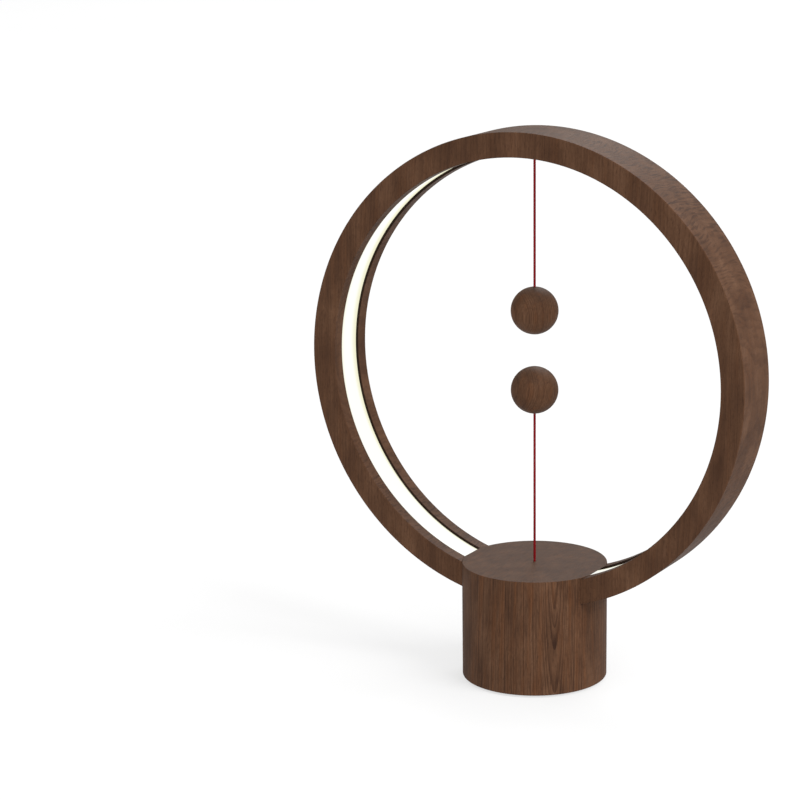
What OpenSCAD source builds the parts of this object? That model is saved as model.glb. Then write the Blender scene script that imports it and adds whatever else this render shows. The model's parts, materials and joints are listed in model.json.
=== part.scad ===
// A balance lamp: a wooden light ring stands in a round base, and two wooden balls on
// cords hang in its middle, held a gap apart by the magnets inside them. Lifting the
// lower ball to the upper one pulls its cord, and that works the switch in the base.
// Millimetres, +Z up. The origin is the middle of the foot pad's underside. The ring
// lies in the XZ plane, its front face towards -Y. The power inlet is at the back, +Y.

/* [Ring] */
// Outer diameter of the light ring
ring_d = 230; // [190:1:280]
// Width of the ring, front to back
ring_w = 30; // [25:0.5:36]
// Thickness of the ring, from its outer face to its inner lips
ring_t = 12; // [10:0.5:15]
// Width of each lip beside the light channel
lip_w = 7.2; // [6:0.1:8.6]
// Wood left behind the light channel
ring_floor_t = 5; // [4.5:0.5:6]
// Depth of the ring's lowest point below the top of the base
ring_sink = 18; // [16:0.5:20]
// Eased edge of the ring and the base
edge = 0.4; // [0.2:0.1:0.8]

/* [Light] */
// Depth of the diffuser's face below the lips
diffuser_recess = 1.5; // [0.5:0.1:2]
// Thickness of the diffuser
diffuser_t = 2; // [1.5:0.1:2.5]
// Width of the ledge that the diffuser sits on, each side
diffuser_ledge = 2.3; // [1.5:0.1:2.5]
// Distance from one LED chip to the next along the strip
led_pitch = 10; // [8:0.5:20]

/* [Balls and cords] */
// Diameter of each ball
ball_d = 23; // [19:0.5:28]
// Gap that the magnets hold open between the balls
ball_gap = 16; // [10:0.5:22]
// Free length of the upper cord, from its hole to the ball
upper_hang = 64.5; // [50:0.5:75]
// Diameter of the cords
cord_d = 1.1; // [0.9:0.1:1.3]
// Diameter of each magnet
magnet_d = 10; // [8:0.5:11]
// Thickness of each magnet
magnet_t = 5; // [4:0.5:6]

/* [Base] */
// Outer diameter of the base
base_d = 71; // [60:1:90]
// Height of the base's top above the table
base_h = 58; // [50:1:72]
// Thickness of the base's side wall
base_wall = 7.5; // [7:0.5:8]
// Thickness of the base's top
base_top_t = 5; // [4.5:0.5:6]
// Thickness of the foot pad
pad_t = 1; // [0.8:0.1:2]
// Thickness of the bottom cover
cover_t = 3; // [2.5:0.5:4]
// Thickness of the ballast disc
ballast_t = 8; // [5:0.5:8.5]

/* [Pull switch] */
// Travel of the plunger that the cord pulls
pull_travel = 3; // [2:0.5:3]
// Outer diameter of the plunger's guide tube
guide_d = 9.6; // [9.2:0.1:10]

/* [Inlet] */
// Width of the recess that takes the power plug
inlet_w = 13; // [12:0.5:14]
// Height of the recess that takes the power plug
inlet_h = 7.4; // [6.5:0.1:8]

/* [Hidden] */
$fn = 96;

// Clearances: between seated pieces, round a screw, and round what slides or turns
seat_gap = 0.1;
screw_gap = 0.05;
run_gap = 0.08;
// A screw ends this far short of its hole's end
screw_end_gap = 0.3;
// What a cut reaches past the face that it opens
past = 1;

// Ring
ring_r = ring_d / 2;
ring_z = base_h - ring_sink + ring_r;
lip_r = ring_r - ring_t;
seat_r = lip_r + diffuser_recess + diffuser_t;
floor_r = ring_r - ring_floor_t;
channel_w = ring_w - 2 * lip_w;
led_channel_w = channel_w - 2 * diffuser_ledge;
// Thickness of the thin flanges that stand at the diffuser's sides, flush with the lips
diffuser_rim_t = 0.5;

// Base
base_r = base_d / 2;
cavity_r = base_r - base_wall;
ceiling_z = base_h - base_top_t;
cover_top = pad_t + cover_t;
// Width of the rim that stands round the bottom cover
rim_w = 3.5;
cover_r = base_r - rim_w;
// What the foot pad leaves free at the cover's edge
pad_margin = 0.5;
// Gap round the ballast disc
ballast_gap = 1;
ballast_r = cavity_r - ballast_gap;
ballast_top = cover_top + ballast_t;
// What the ring's brackets are narrower than the ring, each side
bracket_margin = 2;
bracket_w = ring_w - 2 * bracket_margin;
// Gap between a bracket's corners and the cavity's wall
bracket_gap = 1.4;
// Each end of the ring stands where its bracket fits across the cavity
ring_end_x = sqrt(pow(cavity_r, 2) - pow(bracket_w / 2 + bracket_gap, 2));

// LED strip and chips
// Layers of glue under the strip and of solder under the chips
glue_t = 0.1;
strip_t = 0.4;
strip_r = floor_r - glue_t - strip_t;
// What the strip leaves free at each side of its channel, and at each end
strip_margin = 1.5;
strip_end_margin = 3;
strip_w = led_channel_w - 2 * strip_margin;
strip_end_x = ring_end_x + strip_end_margin;
chip_size = [2.8, 3.5, 0.8];
chip_turn = led_pitch / strip_r * 180 / PI;
// The chips stop where the ring enters the base
chip_last = 180 - asin((base_r + chip_size[0]) / floor_r);

// Cord anchor in the ring's top
anchor_r = 2.5;
anchor_depth = 3;
// Gap between the anchor's foot and the diffuser
anchor_lift = 0.5;
cord_r = cord_d / 2;
cord_hole_r = cord_r + seat_gap;
// Room round the cord where it passes through the diffuser
cord_room = 0.45;
diffuser_hole_r = cord_r + cord_room;
knot_r = 1.5;
knot_h = 2.6;
// The bore that a knot lies in
knot_bore_r = knot_r + 2 * seat_gap;
diffuser_face_z = ring_z + lip_r + diffuser_recess;
upper_bend_z = diffuser_face_z - cord_r;

// Balls, from the pole that faces the gap inwards
ball_r = ball_d / 2;
plug_depth = 3.1;
chamber_h = 4.4;
// Gap round the knot in its chamber
chamber_gap = 0.5;
chamber_r = knot_r + chamber_gap;
upper_ball_z = upper_bend_z - upper_hang - ball_r;
lower_ball_z = upper_ball_z - ball_d - ball_gap;
shoulder_depth = plug_depth + magnet_t + chamber_h;
upper_shoulder_z = upper_ball_z - ball_r + shoulder_depth;
lower_shoulder_z = lower_ball_z + ball_r - shoulder_depth;
lower_bend_z = base_h + cord_r;

// Pull switch, hung from the base's ceiling
flange_t = 2.5;
flange_size = [12, 22];
guide_top = ceiling_z - flange_t;
guide_bore_r = 3.6;
head_r = guide_bore_r - run_gap;
head_t = 2;
spring_h = 8.5;
spring_wire_r = 0.3;
spring_r = 2.75;
spring_turns = 7;
head_z = guide_top - spring_h - head_t;
// How far the guide reaches below the plunger's head at the end of its travel
guide_skirt = 4;
guide_h = spring_h + head_t + pull_travel + guide_skirt;
stem_r = 2.4;
stem_h = 13;
collar_r = 5;
collar_t = 2;
collar_z = head_z - stem_h - collar_t;
collar_top = collar_z + collar_t;
// From the plunger's head down to the seat of the cord's knot
knot_seat_depth = 6;
knot_seat_z = head_z - knot_seat_depth;

// Micro switch beside the guide, worked by the plunger's collar through its lever
switch_size = [12.8, 5.8, 6.5];
switch_x = 6.5;
lever_t = 0.3;
lever_w = 3.2;
lever_tip_x = collar_r - 1;
lever_reach = 13.5;
lever_pin_x = lever_tip_x + lever_reach;
lever_z = collar_top + seat_gap + lever_t / 2;
// Height of the switch's body above its lever
switch_lift = 1.9;
switch_z = lever_z + lever_t / 2 + switch_lift;
switch_top = switch_z + switch_size[2];
button_r = 0.9;
button_from_pin = 4;
button_x = lever_pin_x - button_from_pin;
button_in = 1.4;
pin_r = 0.4;
// Width and thickness of the ears that hold the pin, and their depth below the pin
ear_w = 2;
ear_t = 1;
ear_below = 0.8;
switch_screw_first = 3;
switch_screw_pitch = 6.6;
switch_screw_places = [for (i = [0, 1]) switch_x + switch_screw_first + i * switch_screw_pitch];
switch_screw_down = 1.6;
switch_screw_z = switch_top - switch_screw_down;
arm_y = switch_size[1] / 2 + seat_gap;
arm_t = 2;
arm_wide = 16;
arm_above = 3;
arm_top = switch_top + arm_above;
arm_bottom = switch_z + 1;
terminal_first = 1.5;
terminal_pitch = 4.9;
terminal_x = [for (i = [0:2]) switch_x + terminal_first + i * terminal_pitch];
terminal_size = [0.6, 1.6, 3];
terminal_top = switch_top + terminal_size[2];

// Screws: shank radius, head radius, head height
wood_screw = [1.2, 2.2, 1.6];
side_screw = [1.1, 2, 1.2];
board_screw = [0.9, 1.7, 1.1];
cover_screw = [1.1, 2, 1.4];
ballast_screw = [1.4, 2.4, 1.5];
switch_screw = [0.9, 1.5, 0.8];
// From the flange's end to the middle of its screw, and the screw hole's depth in the wood
flange_screw_margin = 2.7;
housing_screw_y = flange_size[1] / 2 - flange_screw_margin;
housing_screw_in = 3.6;

// Ring brackets
bracket_t = 1.4;
bracket_leg = 9;
// What the bracket's lower edge stands above the ring's outer face
bracket_lift = 0.5;
bracket_bottom = ring_z - sqrt(pow(ring_r, 2) - pow(ring_end_x, 2)) + bracket_lift;
// From the upright plate to the screws through the flat one, and their distance apart
bracket_screw_in = 4.6;
bracket_screw_x = ring_end_x - bracket_t - bracket_screw_in;
bracket_screw_y = 6;
side_screw_y = ring_w / 2 - lip_w / 2;
side_screw_up = 3;
side_screw_z = bracket_bottom + side_screw_up;
side_screw_len = 8;
window_w = 9;
window_bottom = ring_z - sqrt(pow(floor_r, 2) - pow(ring_end_x, 2));

// Circuit board over the ballast, and the power socket on its back edge
board_t = 1.6;
standoff_h = 4;
board_z = ballast_top + standoff_h;
board_top = board_z + board_t;
board_half_w = 11;
board_len = 19;
// Half the width of the tab that carries the socket
tab_half_w = 6.5;
// Gap between the board's corners and the cavity's wall
board_gap = 1;
board_back = sqrt(pow(cavity_r, 2) - pow(board_half_w + board_gap, 2));
tab_back = sqrt(pow(cavity_r, 2) - pow(tab_half_w + board_gap, 2));
board_front = board_back - board_len;
standoff_r = 2;
standoff_margin = 2.4;
standoff_floor = 0.6;
standoff_x = board_half_w - standoff_margin;
standoff_y = [board_front + standoff_margin, board_back - standoff_margin];
header_size = [6, 4.5, 4];
header_margin = 3.4;
header_x = board_half_w - header_margin;
header_from_front = 9;
header_y = board_front + header_from_front;
// Each part's place from the middle of the board's front edge, and its size
board_parts = [
    [[-2.5, 4.5], [5, 4, 1.5]], [[4, 4.5], [4, 4, 2]], [[0.2, 1.6], [2, 1.2, 0.6]],
    [[0, 10.5], [3, 1.6, 0.8]], [[0, 13], [3, 1.6, 0.8]]
];
socket_size = [8.94, 3.26];
socket_wall = 0.3;
socket_back = 1;
socket_len = 7.3;
// Room round the socket in the base's wall
socket_room = 0.3;
inlet_z = board_top + socket_size[1] / 2;
bezel_t = 1.4;
bezel_floor = 1.5;
// Wood left behind the bezel
bezel_wood = 1.5;
bezel_back = cavity_r + bezel_wood;
socket_mouth = bezel_back + bezel_floor;
tongue_size = [6.7, 0.7];
// How far the tongue stands back from the socket's mouth
tongue_in = 0.6;

// Cover screws and ballast screws
cover_screw_edge = 2.2;
cover_screw_place = cover_r - cover_screw_edge;
cover_screw_turns = [30, 150, 270];
cover_screw_in = 9;
ballast_screw_x = 12;
ballast_screw_in = 5;

// Leads
lead_r = 0.6;
// Half the distance between two leads that run side by side
lead_apart = 1.1;
// Gap between a lead's end and the header or terminal that it meets
lead_gap = 0.25;
header_top = board_top + header_size[2] + lead_gap;
// Height of the LED leads' ends over the strip's own end
lead_end_z = ring_z - sqrt(pow(strip_r, 2) - pow(strip_end_x, 2)) + lead_r / 2;
// From the left header up through the bracket's window to the end of the LED strip
led_lead_route = [
    [-header_x, header_y, header_top], [-header_x, header_y, board_top + 7],
    [-header_x - 6.5, header_y - 3, board_top + 13], [-ring_end_x + 7, 7, board_top + 20],
    [-ring_end_x + 7, 3, lead_end_z - 5], [-ring_end_x + 4, 0, lead_end_z],
    [-strip_end_x, 0, lead_end_z]
];
// From the right header over the switch's arm to a terminal at x = to_x
function switch_lead_route(from_x, to_x) = [
    [from_x, header_y, header_top], [from_x, header_y, board_top + 8],
    [(from_x + to_x) / 2, 11, switch_z + 5], [to_x, 7, arm_top + 2.5],
    [to_x, 2, arm_top + 3.5], [to_x, 0, terminal_top + lead_gap]
];

// ---- Shapes that repeat ----

// A section, drawn with X as the radius, carried round the ring's axis
module round_ring_axis()
    translate([0, 0, ring_z])
        rotate([90, 0, 0])
            rotate_extrude()
                children();

// What lies below the ring's middle and within end_x of it, where the ring is open
module bottom_opening(end_x)
    translate([-end_x, -ring_w, ring_z - ring_d])
        cube([2 * end_x, 2 * ring_w, ring_d]);

// A flat band between two radii, whose two ends stand inside the base
module open_band(r_in, r_out, width, end_x)
    difference() {
        round_ring_axis()
            translate([r_in, -width / 2])
                square([r_out - r_in, width]);
        bottom_opening(end_x);
    }

module rod(r, z_low, z_high)
    translate([0, 0, z_low])
        cylinder(r = r, h = z_high - z_low);

// A pan-head screw with its head below z = 0 and its shank up to length
module pan_screw(kind, length) {
    rod(kind[0], 0, length);
    rod(kind[1], -kind[2], 0);
}

// A flat-head screw whose head is flush at z = 0, its shank up to length
module flat_screw(kind, length, gap) {
    rod(kind[0] + gap, 0, length);
    cylinder(r1 = kind[1] + gap, r2 = kind[0] + gap, h = kind[2]);
}

// An outline with straight long sides and round ends
module stadium(w, h) {
    square([w - h, h], center = true);
    for (side = [-1, 1])
        translate([side * (w - h) / 2, 0])
            circle(d = h);
}

// A stadium at the inlet's height, from y_low to y_high
module inlet_bar(w, h, y_low, y_high)
    translate([0, y_high, inlet_z])
        rotate([90, 0, 0])
            linear_extrude(y_high - y_low)
                stadium(w, h);

function unit(v) = v / norm(v);

// Catmull-Rom curve: point at u, from 0 to 1, between points i and i + 1 of p
function curve_at(p, i, u) =
    let (a = p[max(i - 1, 0)], b = p[i], c = p[i + 1], d = p[min(i + 2, len(p) - 1)])
    0.5 * (2 * b + (c - a) * u + (2 * a - 5 * b + 4 * c - d) * u * u
        + (3 * b - a - 3 * c + d) * u * u * u);

// The curve through the points p, with steps points for each of its stretches
function smooth(p, steps) = [
    for (i = [0:len(p) - 2], s = [0:steps - 1]) curve_at(p, i, s / steps),
    p[len(p) - 1]
];

// Direction of the line at point i
function along(line, i) = unit(line[min(i + 1, len(line) - 1)] - line[max(i - 1, 0)]);

// A round tube that follows line. across is a direction that the line never takes
module tube(line, r, sides, across) {
    rings = len(line);
    points = [
        for (i = [0:rings - 1])
            let (t = along(line, i), u = unit(cross(across, t)), v = cross(t, u))
            for (k = [0:sides - 1])
                line[i] + r * (cos(360 * k / sides) * u + sin(360 * k / sides) * v)
    ];
    walls = [
        for (i = [0:rings - 2], k = [0:sides - 1], half = [0, 1])
            let (a = i * sides + k, b = i * sides + (k + 1) % sides)
            half == 0 ? [a, a + sides, b] : [b, a + sides, b + sides]
    ];
    first_cap = [for (k = [1:sides - 2]) [0, k, k + 1]];
    last = (rings - 1) * sides;
    last_cap = [for (k = [1:sides - 2]) [last, last + k + 1, last + k]];
    polyhedron(points, concat(walls, first_cap, last_cap));
}

// A straight cord along the lamp's axis, with a ring every three diameters
module axis_cord(z_low, z_high) {
    steps = ceil((z_high - z_low) / (3 * cord_d));
    tube([for (i = [0:steps]) [0, 0, z_low + (z_high - z_low) * i / steps]],
        cord_r, 8, [0, 1, 0]);
}

// A ball with its cord bore, knot chamber and magnet pocket. The gap is towards +Z
module hollow_ball()
    difference() {
        sphere(r = ball_r);
        rod(cord_hole_r, -ball_r - past, ball_r);
        rod(chamber_r, ball_r - shoulder_depth, ball_r);
        rod(magnet_d / 2 + screw_gap, ball_r - plug_depth - magnet_t, ball_r + past);
    }

// The plug that closes a ball's magnet pocket, its face part of the ball's round
module ball_plug()
    intersection() {
        sphere(r = ball_r);
        rod(magnet_d / 2, ball_r - plug_depth, ball_r + past);
    }

module magnet()
    rod(magnet_d / 2, ball_r - plug_depth - magnet_t, ball_r - plug_depth);

// Two copies, on the left and the right
module both_sides() {
    children();
    mirror([1, 0, 0])
        children();
}

// ---- Ring ----

// The ring's section: its two lips stand beside the channel, which has a ledge
module ring_section() {
    w = ring_w / 2;
    c = channel_w / 2;
    n = led_channel_w / 2;
    half = [
        [ring_r, 0], [ring_r, w - edge], [ring_r - edge, w], [lip_r + edge, w],
        [lip_r, w - edge], [lip_r, c], [seat_r, c], [seat_r, n], [floor_r, n]
    ];
    polygon(concat(half, [for (i = [len(half) - 1:-1:1]) [half[i][0], -half[i][1]]]));
}

// The hole for a screw that holds a ring end to its bracket, on the right
module side_screw_place(side)
    translate([ring_end_x, side * side_screw_y, side_screw_z])
        rotate([0, 90, 0])
            children();

module ring_frame()
    color("#5a3d30")
        difference() {
            round_ring_axis()
                ring_section();
            bottom_opening(ring_end_x);
            rod(anchor_r + screw_gap, ring_z + floor_r - past, ring_z + floor_r + anchor_depth);
            both_sides()
                for (side = [-1, 1])
                    side_screw_place(side)
                        rod(side_screw[0] + screw_gap, -past, side_screw_len);
        }

module led_strip()
    color("white")
        difference() {
            open_band(strip_r, strip_r + strip_t, strip_w, strip_end_x);
            rod(anchor_r + seat_gap, ring_z, ring_z + ring_r);
        }

module led_chips()
    color("#fff2b0")
        for (turn = [chip_turn / 2:chip_turn:chip_last], side = [-1, 1])
            translate([0, 0, ring_z])
                rotate([0, side * turn, 0])
                    translate([0, 0, strip_r - glue_t - chip_size[2] / 2])
                        cube(chip_size, center = true);

// The diffuser's section: a flat band with a thin flange along each side
module diffuser_section() {
    w = channel_w / 2 - seat_gap;
    face_r = lip_r + diffuser_recess;
    half = [
        [seat_r - seat_gap, w], [lip_r + seat_gap, w], [lip_r + seat_gap, w - diffuser_rim_t],
        [face_r, w - diffuser_rim_t]
    ];
    polygon(concat(half, [for (i = [len(half) - 1:-1:0]) [half[i][0], -half[i][1]]]));
}

module light_diffuser()
    color("ivory")
        difference() {
            round_ring_axis()
                diffuser_section();
            bottom_opening(ring_end_x);
            rod(diffuser_hole_r, ring_z, ring_z + ring_r);
        }

// ---- Upper cord and ball ----

module string_anchor()
    color("#b5914a")
        difference() {
            rod(anchor_r, ring_z + seat_r + anchor_lift, ring_z + floor_r + anchor_depth);
            rod(cord_hole_r, ring_z, ring_z + ring_r);
            rod(knot_bore_r, ring_z + floor_r, ring_z + ring_r);
        }

// The knot rests on the anchor's floor, and the cord goes down through the anchor
module upper_string_knot()
    color("#8a1010") {
        rod(knot_r, ring_z + floor_r, ring_z + floor_r + knot_h);
        rod(cord_r, diffuser_face_z, ring_z + floor_r);
    }

module upper_string_bend()
    color("#8a1010")
        translate([0, 0, upper_bend_z])
            sphere(r = cord_r);

module upper_string()
    color("#8a1010")
        axis_cord(upper_shoulder_z, upper_bend_z - cord_r);

module upper_ball_knot()
    color("#8a1010")
        rod(knot_r, upper_shoulder_z - knot_h, upper_shoulder_z);

module in_upper_ball()
    translate([0, 0, upper_ball_z])
        mirror([0, 0, 1])
            children();

module upper_ball()
    color("#5a3d30")
        in_upper_ball()
            hollow_ball();

module upper_magnet()
    color("silver")
        in_upper_ball()
            magnet();

module upper_ball_plug()
    color("#5a3d30")
        in_upper_ball()
            ball_plug();

// ---- Lower cord and ball ----

module in_lower_ball()
    translate([0, 0, lower_ball_z])
        children();

module lower_ball()
    color("#5a3d30")
        in_lower_ball()
            hollow_ball();

module lower_magnet()
    color("silver")
        in_lower_ball()
            magnet();

module lower_ball_plug()
    color("#5a3d30")
        in_lower_ball()
            ball_plug();

module lower_ball_knot()
    color("#8a1010")
        rod(knot_r, lower_shoulder_z, lower_shoulder_z + knot_h);

module lower_string()
    color("#8a1010")
        axis_cord(lower_bend_z + cord_r, lower_shoulder_z);

module lower_string_bend()
    color("#8a1010")
        translate([0, 0, lower_bend_z])
            sphere(r = cord_r);

// ---- Pull switch ----

// The cord's end inside the base, with the knot that pulls the plunger up
module pull_string()
    color("#8a1010") {
        rod(cord_r, knot_seat_z, base_h);
        rod(knot_r, knot_seat_z - knot_h, knot_seat_z);
    }

module pull_plunger()
    color("gainsboro")
        difference() {
            union() {
                rod(head_r, head_z, head_z + head_t);
                rod(stem_r, collar_z, head_z);
                rod(collar_r, collar_z, collar_top);
            }
            rod(cord_hole_r, collar_z, head_z + head_t + past);
            rod(knot_bore_r, collar_z - past, knot_seat_z);
        }

// A helix from the plunger's head to the housing's ceiling
module return_spring() {
    turn_steps = 8;
    steps = turn_steps * spring_turns;
    rise = spring_h - 2 * spring_wire_r;
    helix = [
        for (i = [0:steps])
            let (turn = 360 * i / turn_steps)
            [spring_r * cos(turn), spring_r * sin(turn),
                head_z + head_t + spring_wire_r + rise * i / steps]
    ];
    color("silver")
        tube(helix, spring_wire_r, 6, [0, 0, 1]);
}

// The wall beside the guide that the micro switch is screwed to
module switch_arm()
    translate([0, arm_y + arm_t, 0])
        rotate([90, 0, 0])
            linear_extrude(arm_t)
                polygon([
                    [stem_r, guide_top + past], [flange_size[0] / 2, guide_top + past],
                    [flange_size[0] / 2, arm_top], [stem_r + arm_wide, arm_top],
                    [stem_r + arm_wide, arm_bottom], [stem_r, arm_bottom]
                ]);

module switch_housing()
    color("dimgray")
        difference() {
            union() {
                translate([0, 0, guide_top + flange_t / 2])
                    cube([flange_size[0], flange_size[1], flange_t], center = true);
                rod(guide_d / 2, guide_top - guide_h, guide_top);
                switch_arm();
            }
            rod(guide_bore_r, guide_top - guide_h - past, guide_top);
            rod(cord_hole_r + seat_gap, guide_top - past, ceiling_z + past);
            for (side = [-1, 1])
                translate([0, side * housing_screw_y, 0])
                    rod(wood_screw[0] + screw_gap, guide_top - past, ceiling_z + past);
            switch_screw_holes();
        }

module housing_screws()
    color("silver")
        for (side = [-1, 1])
            translate([0, side * housing_screw_y, guide_top])
                pan_screw(wood_screw, flange_t + housing_screw_in - screw_end_gap);

module switch_screw_holes()
    for (x = switch_screw_places)
        translate([x, 0, switch_screw_z])
            rotate([90, 0, 0])
                cylinder(r = switch_screw[0] + screw_gap, h = 4 * arm_y, center = true);

// The body has two ears below it that hold the lever's pin
module micro_switch() {
    ear = [ear_w, ear_t, switch_z - lever_z + ear_below];
    ear_y = switch_size[1] / 2 - seat_gap - ear_t / 2;
    color("#202020")
        difference() {
            union() {
                translate([switch_x, -switch_size[1] / 2, switch_z])
                    cube(switch_size);
                for (side = [-1, 1])
                    translate([lever_pin_x, side * ear_y, switch_z - ear[2] / 2])
                        cube(ear, center = true);
            }
            switch_screw_holes();
            translate([button_x, 0, 0])
                rod(button_r + run_gap, switch_z - past, switch_z + button_in + screw_end_gap);
            translate([lever_pin_x, 0, lever_z])
                rotate([90, 0, 0])
                    cylinder(r = pin_r + run_gap, h = switch_size[1] + past, center = true);
        }
}

module switch_button()
    color("firebrick")
        translate([button_x, 0, 0])
            rod(button_r, lever_z + lever_t / 2 + screw_gap, switch_z + button_in);

module switch_lever()
    color("silver") {
        translate([lever_tip_x, -lever_w / 2, lever_z - lever_t / 2])
            cube([lever_reach + pin_r, lever_w, lever_t]);
        translate([lever_pin_x, 0, lever_z])
            rotate([90, 0, 0])
                cylinder(r = pin_r, h = switch_size[1] - 4 * seat_gap, center = true);
    }

module switch_terminals()
    color("#b5914a")
        for (x = terminal_x)
            translate([x, 0, terminal_top - terminal_size[2] / 2])
                cube(terminal_size, center = true);

module switch_screws()
    color("silver")
        for (x = switch_screw_places)
            translate([x, -switch_size[1] / 2, switch_screw_z])
                rotate([-90, 0, 0])
                    pan_screw(switch_screw, arm_y + switch_size[1] / 2 + arm_t);

// ---- Base ----

// Half of the base's section: wall, top, and the rebate that takes the cover
module base_section()
    polygon([
        [0, ceiling_z], [cavity_r, ceiling_z], [cavity_r, cover_top], [cover_r + seat_gap, cover_top],
        [cover_r + seat_gap, pad_t], [base_r - edge, pad_t], [base_r, pad_t + edge],
        [base_r, base_h - edge], [base_r - edge, base_h], [0, base_h]
    ]);

module base_shell()
    color("#5a3d30")
        difference() {
            rotate_extrude()
                base_section();
            open_band(lip_r - seat_gap, ring_r + seat_gap, ring_w + 2 * seat_gap,
                ring_end_x - seat_gap);
            rod(cord_hole_r + seat_gap, ceiling_z - past, base_h + past);
            for (side = [-1, 1])
                translate([0, side * housing_screw_y, 0])
                    rod(wood_screw[0] + screw_gap, ceiling_z - past, ceiling_z + housing_screw_in);
            both_sides()
                for (side = [-1, 1])
                    translate([bracket_screw_x, side * bracket_screw_y, 0])
                        rod(wood_screw[0] + screw_gap, ceiling_z - past, ceiling_z + housing_screw_in);
            inlet_bar(inlet_w + 2 * bezel_t + 2 * seat_gap, inlet_h + 2 * bezel_t + 2 * seat_gap,
                bezel_back, base_r + past);
            inlet_bar(socket_size[0] + 2 * socket_room, socket_size[1] + 2 * socket_room, 0, base_r);
            cover_screw_places()
                rod(cover_screw[0] + screw_gap, 0, cover_screw_in + screw_end_gap);
        }

// An angle under the base's top: its long plate holds the ring's end, and has a window
// for the leads that reaches up through the short plate's edge
module ring_bracket()
    difference() {
        union() {
            translate([ring_end_x - bracket_t, -bracket_w / 2, bracket_bottom])
                cube([bracket_t, bracket_w, ceiling_z - bracket_bottom]);
            translate([ring_end_x - bracket_leg, -bracket_w / 2, ceiling_z - bracket_t])
                cube([bracket_leg, bracket_w, bracket_t]);
        }
        translate([ring_end_x - bracket_t - past, -window_w / 2, window_bottom])
            cube([bracket_t + 2 * past, window_w, ceiling_z + past - window_bottom]);
        for (side = [-1, 1]) {
            side_screw_place(side)
                rod(side_screw[0] + screw_gap, -bracket_t - past, past);
            translate([bracket_screw_x, side * bracket_screw_y, 0])
                rod(wood_screw[0] + screw_gap, ceiling_z - bracket_t - past, ceiling_z + past);
        }
    }

module ring_brackets()
    color("silver")
        both_sides()
            ring_bracket();

module bracket_screws()
    color("gray")
        both_sides()
            for (side = [-1, 1]) {
                translate([bracket_screw_x, side * bracket_screw_y, ceiling_z - bracket_t])
                    pan_screw(wood_screw, bracket_t + housing_screw_in - screw_end_gap);
                side_screw_place(side)
                    translate([0, 0, -bracket_t])
                        pan_screw(side_screw, bracket_t + side_screw_len - screw_end_gap);
            }

module ballast_screw_places()
    for (side = [-1, 1])
        translate([side * ballast_screw_x, 0, pad_t])
            children();

module ballast_disc()
    color("slategray")
        difference() {
            rod(ballast_r, cover_top, ballast_top);
            ballast_screw_places()
                rod(ballast_screw[0] + screw_gap, 0, cover_t + ballast_screw_in + screw_end_gap);
        }

module ballast_screws()
    color("gray")
        ballast_screw_places()
            flat_screw(ballast_screw, cover_t + ballast_screw_in, 0);

module cover_screw_places()
    for (turn = cover_screw_turns)
        rotate(turn)
            translate([cover_screw_place, 0, pad_t])
                children();

module bottom_cover()
    color("#2b2b2b")
        difference() {
            rod(cover_r, pad_t, cover_top);
            cover_screw_places()
                flat_screw(cover_screw, cover_t + past, screw_gap);
            ballast_screw_places()
                flat_screw(ballast_screw, cover_t + past, screw_gap);
        }

module cover_screws()
    color("gray")
        cover_screw_places()
            flat_screw(cover_screw, cover_screw_in, 0);

module foot_pad()
    color("#3a3a3a")
        rod(cover_r - pad_margin, 0, pad_t);

// ---- Electrics ----

module board_screw_places()
    for (x = [-standoff_x, standoff_x], y = standoff_y)
        translate([x, y, 0])
            children();

module circuit_board()
    color("#1f6b3a")
        difference() {
            translate([0, 0, board_z])
                linear_extrude(board_t)
                    polygon([
                        [-board_half_w, board_front], [board_half_w, board_front],
                        [board_half_w, board_back], [tab_half_w, board_back],
                        [tab_half_w, tab_back], [-tab_half_w, tab_back],
                        [-tab_half_w, board_back], [-board_half_w, board_back]
                    ]);
            board_screw_places()
                rod(board_screw[0] + screw_gap, board_z - past, board_top + past);
        }

module board_components()
    color("#303030")
        for (part = board_parts)
            translate([part[0][0], board_front + part[0][1], board_top + part[1][2] / 2])
                cube(part[1], center = true);

module wire_headers()
    color("ivory")
        both_sides()
            translate([header_x, header_y, board_top + header_size[2] / 2])
                cube(header_size, center = true);

module board_standoffs()
    color("#b5914a")
        board_screw_places()
            difference() {
                rod(standoff_r, ballast_top, board_z);
                rod(board_screw[0] + screw_gap, ballast_top + standoff_floor, board_z + past);
            }

module board_screws()
    color("silver")
        board_screw_places()
            translate([0, 0, board_top])
                mirror([0, 0, 1])
                    pan_screw(board_screw, board_t + standoff_h - standoff_floor - screw_end_gap);

module inlet_socket()
    color("silver")
        difference() {
            inlet_bar(socket_size[0], socket_size[1], socket_mouth - socket_len, socket_mouth);
            inlet_bar(socket_size[0] - 2 * socket_wall, socket_size[1] - 2 * socket_wall,
                socket_mouth - socket_len + socket_back, socket_mouth + past);
        }

module inlet_tongue()
    color("#202020")
        translate([-tongue_size[0] / 2, socket_mouth - socket_len + socket_back,
            inlet_z - tongue_size[1] / 2])
            cube([tongue_size[0], socket_len - socket_back - tongue_in, tongue_size[1]]);

module inlet_bezel()
    color("#202020")
        intersection() {
            difference() {
                inlet_bar(inlet_w + 2 * bezel_t, inlet_h + 2 * bezel_t, bezel_back, base_r + past);
                inlet_bar(inlet_w, inlet_h, socket_mouth, base_r + 2 * past);
                inlet_bar(socket_size[0] + 2 * seat_gap, socket_size[1] + 2 * seat_gap,
                    bezel_back - past, base_r);
            }
            rod(base_r - seat_gap, 0, base_h);
        }

module led_leads()
    color("firebrick")
        for (side = [-1, 1])
            tube(smooth([for (p = led_lead_route) p + [0, side * lead_apart, 0]], 2),
                lead_r, 8, [0.2, 1, 0]);

module switch_leads()
    color("firebrick")
        for (i = [0, 1])
            tube(smooth(switch_lead_route(header_x + (2 * i - 1) * lead_apart, terminal_x[i]), 2),
                lead_r, 8, [1, 0, 0]);

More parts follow.
